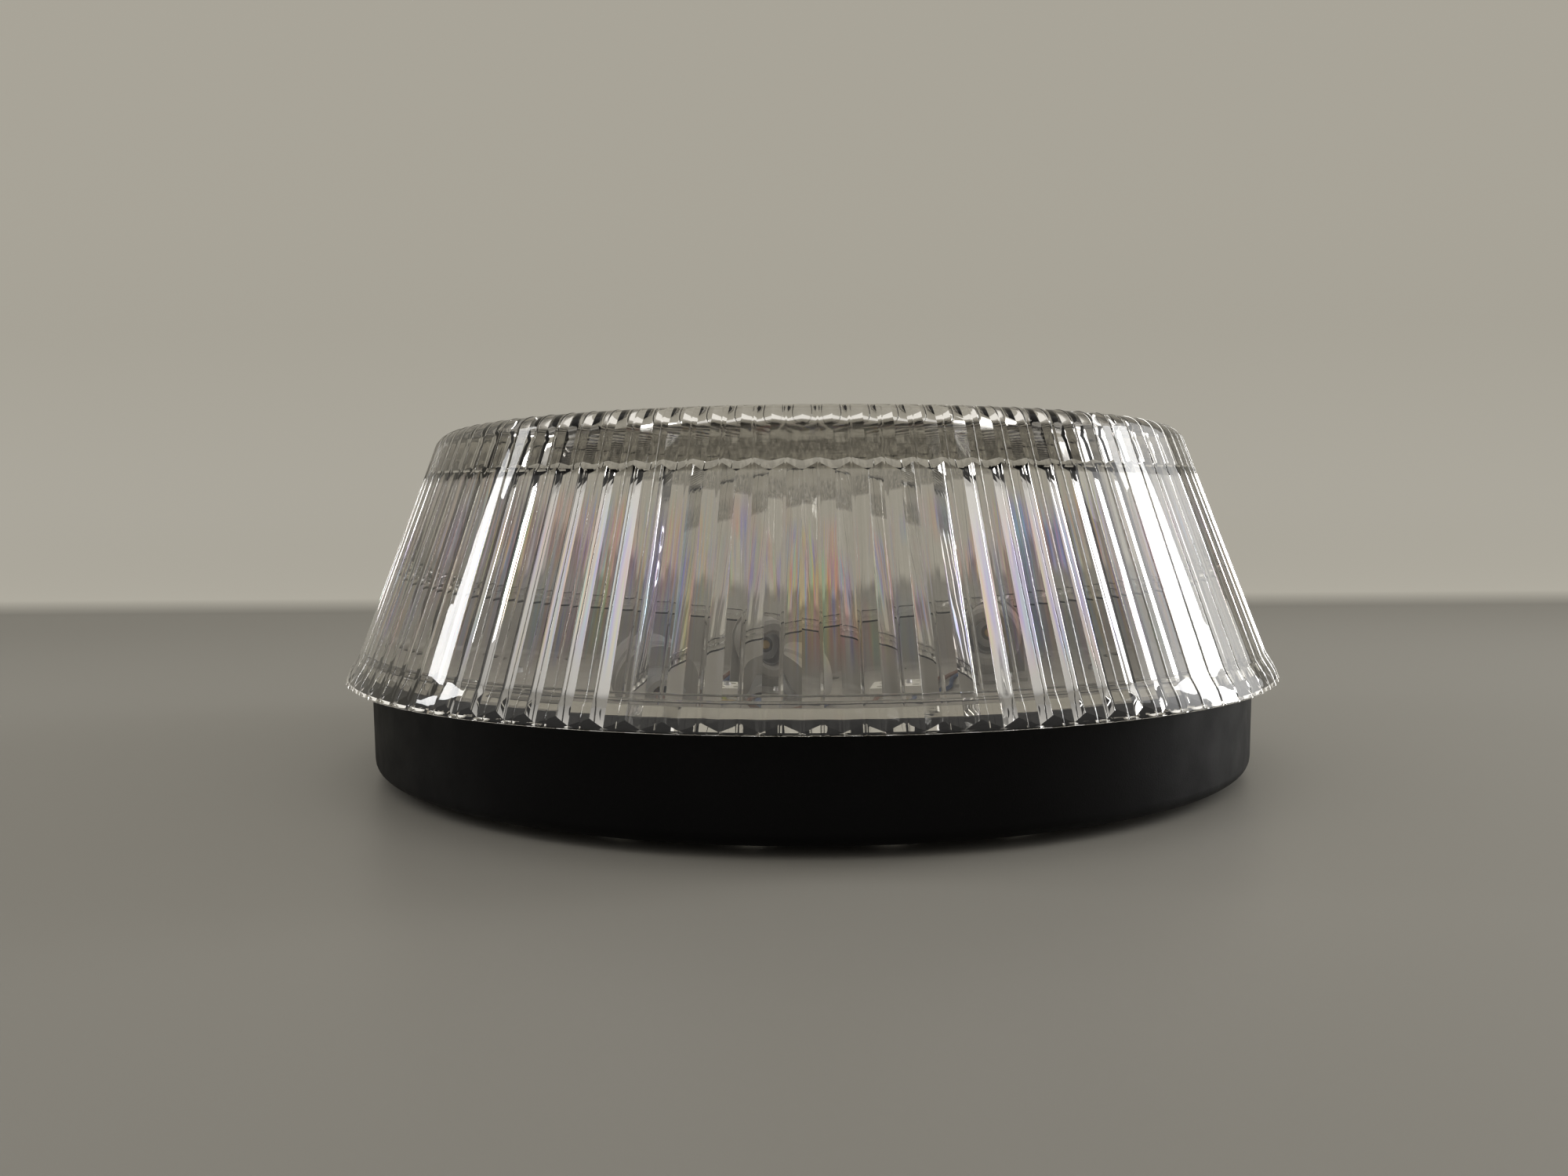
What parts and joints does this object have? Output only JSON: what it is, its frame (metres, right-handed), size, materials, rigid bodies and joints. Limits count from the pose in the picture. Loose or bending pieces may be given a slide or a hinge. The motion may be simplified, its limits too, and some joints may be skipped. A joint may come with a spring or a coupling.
{
  "type": "flush ceiling light",
  "caption": "Round flush ceiling light: a clear ribbed tapered shade twist-locks on a shallow matte black base that holds small screw lampholders on a pale grey tray.",
  "frame": {"origin": "centre of the back plane, where the spacer pads meet the ceiling", "axes": "+Z away from the ceiling along the axis of the shade, +X across the lampholders, -Y the side seen in the picture"},
  "size_m": [0.3202, 0.3202, 0.1133],
  "materials": {
    "base_black": "fine matte moulded",
    "pad_rubber": "matte",
    "tray_paint": "satin powder coat",
    "bracket_paint": "satin powder coat",
    "zinc_steel": "zinc plated",
    "contact_brass": "bare",
    "fitting_plastic": "moulded",
    "holder_grey": "moulded",
    "wire_brown": "silicone",
    "wire_blue": "silicone",
    "wire_green": "silicone",
    "ring_nylon": "moulded",
    "shade_clear": "clear polished moulding"
  },
  "bodies": {
    "base": {"base_pan": "base_black", "spacer_pads": "pad_rubber", "gear_tray": "tray_paint", "tray_screws": "zinc_steel", "cable_grommet": "pad_rubber", "cable_clamp": "fitting_plastic", "clamp_screws": "zinc_steel", "terminal_block": "fitting_plastic", "terminal_barrels": "contact_brass", "terminal_screws": "zinc_steel", "block_screws": "zinc_steel", "earth_tag": "contact_brass", "earth_screw": "contact_brass", "bracket_left": "bracket_paint", "bracket_right": "bracket_paint", "bracket_screws": "zinc_steel", "nipple_left": "zinc_steel", "nipple_right": "zinc_steel", "nipple_nuts": "zinc_steel", "holder_body_left": "holder_grey", "holder_body_right": "holder_grey", "thread_shell_left": "zinc_steel", "thread_shell_right": "zinc_steel", "live_wires": "wire_brown", "neutral_wires": "wire_blue", "earth_wire": "wire_green"},
    "contact_left": {"centre_contact_left": "contact_brass"},
    "contact_right": {"centre_contact_right": "contact_brass"},
    "twist_ring": {"twist_ring": "ring_nylon"},
    "shade": {"shade_collar": "shade_clear", "shade": "shade_clear"}
  },
  "joints": [
    {"name": "shade_twist", "type": "hinge", "parent": "base", "child": "twist_ring", "pos_m": [0, 0, 0.02], "axis": [0, 0, 1], "range_deg": [0, 13]},
    {"name": "shade_lift", "type": "slide", "parent": "twist_ring", "child": "shade", "axis": [0, 0, 1], "range_m": [0, 0.1]},
    {"name": "contact_left_press", "type": "slide", "parent": "base", "child": "contact_left", "axis": [0, -1, 0], "range_m": [0, 0.0015], "stiffness_N_per_m": 1500},
    {"name": "contact_right_press", "type": "slide", "parent": "base", "child": "contact_right", "axis": [0, 1, 0], "range_m": [0, 0.0015], "stiffness_N_per_m": 1500}
  ]
}
